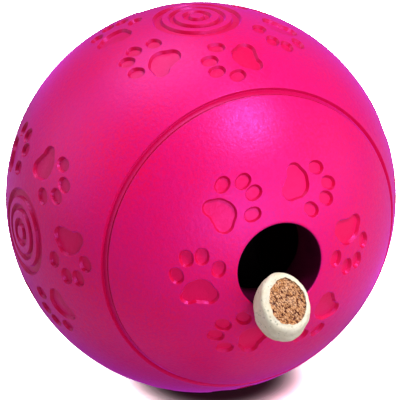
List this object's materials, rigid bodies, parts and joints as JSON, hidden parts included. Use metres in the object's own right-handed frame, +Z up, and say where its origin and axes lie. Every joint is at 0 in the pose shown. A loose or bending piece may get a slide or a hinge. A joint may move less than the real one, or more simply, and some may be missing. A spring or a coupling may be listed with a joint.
{
  "type": "treat dispensing ball",
  "caption": "Hollow rubber ball with a round dispensing hole, paw print and ring target recesses, an inner labyrinth cup and marrow-roll treats.",
  "frame": {"origin": "the point of the ball that touches the floor", "axes": "+Z is up through the ring target on top, -Y is out of the dispensing hole, +X is to the right of someone who looks into the hole"},
  "size_m": [0.11, 0.1288, 0.11],
  "materials": {
    "shell_rubber": "satin natural rubber",
    "cap_rubber": "satin natural rubber",
    "cup_rubber": "matt dark rubber",
    "biscuit": "baked biscuit casing",
    "meat_filling": "crumbly filling"
  },
  "bodies": {
    "ball": {"rear_shell": "shell_rubber", "front_cap": "cap_rubber", "labyrinth_cup": "cup_rubber"},
    "treat": {"treat_casing": "biscuit", "treat_filling": "meat_filling"},
    "left_treat": {"left_treat_casing": "biscuit", "left_treat_filling": "meat_filling"},
    "right_treat": {"right_treat_casing": "biscuit", "right_treat_filling": "meat_filling"}
  },
  "joints": [
    {"name": "treat_slide", "type": "slide", "parent": "ball", "child": "treat", "axis": [-0.2158, -0.7943, 0.5678], "range_m": [0, 0.06]},
    {"name": "left_treat_roll", "type": "hinge", "parent": "ball", "child": "left_treat", "pos_m": [0, 0, 0.055], "axis": [0, 1, 0], "range_deg": [0, 75]},
    {"name": "right_treat_roll", "type": "hinge", "parent": "ball", "child": "right_treat", "pos_m": [0, 0, 0.055], "axis": [0, -1, 0], "range_deg": [0, 75]}
  ]
}
